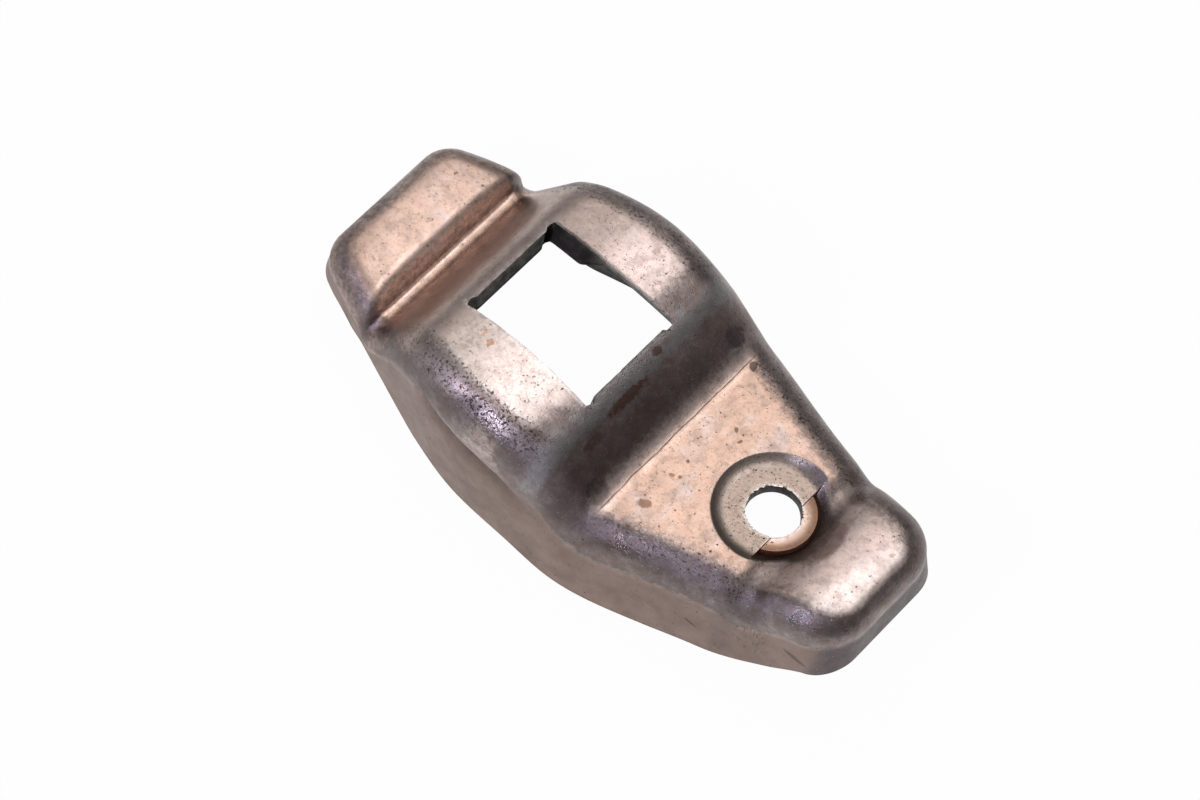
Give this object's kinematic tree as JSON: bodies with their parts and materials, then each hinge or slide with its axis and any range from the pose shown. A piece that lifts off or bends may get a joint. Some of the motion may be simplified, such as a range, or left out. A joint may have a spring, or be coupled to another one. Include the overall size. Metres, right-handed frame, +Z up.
{
  "type": "rocker arm",
  "caption": "Stamped sheet steel rocker arm: an inverted channel with an arched middle pierced by a square window, a pushrod pad, and a valve end with a round hole.",
  "frame": {"origin": "where the fulcrum bears: on the underside of the arch, on the vertical axis of the window", "axes": "+X along the arm towards the valve tip, +Y across the arm, +Z up, out of the top of the arch"},
  "size_m": [0.0727, 0.0354, 0.0177],
  "materials": {
    "rocker_arm": "worn, tarnished stamped steel, semi-gloss"
  },
  "bodies": {
    "root": {"rocker_arm": "rocker_arm"}
  },
  "joints": []
}
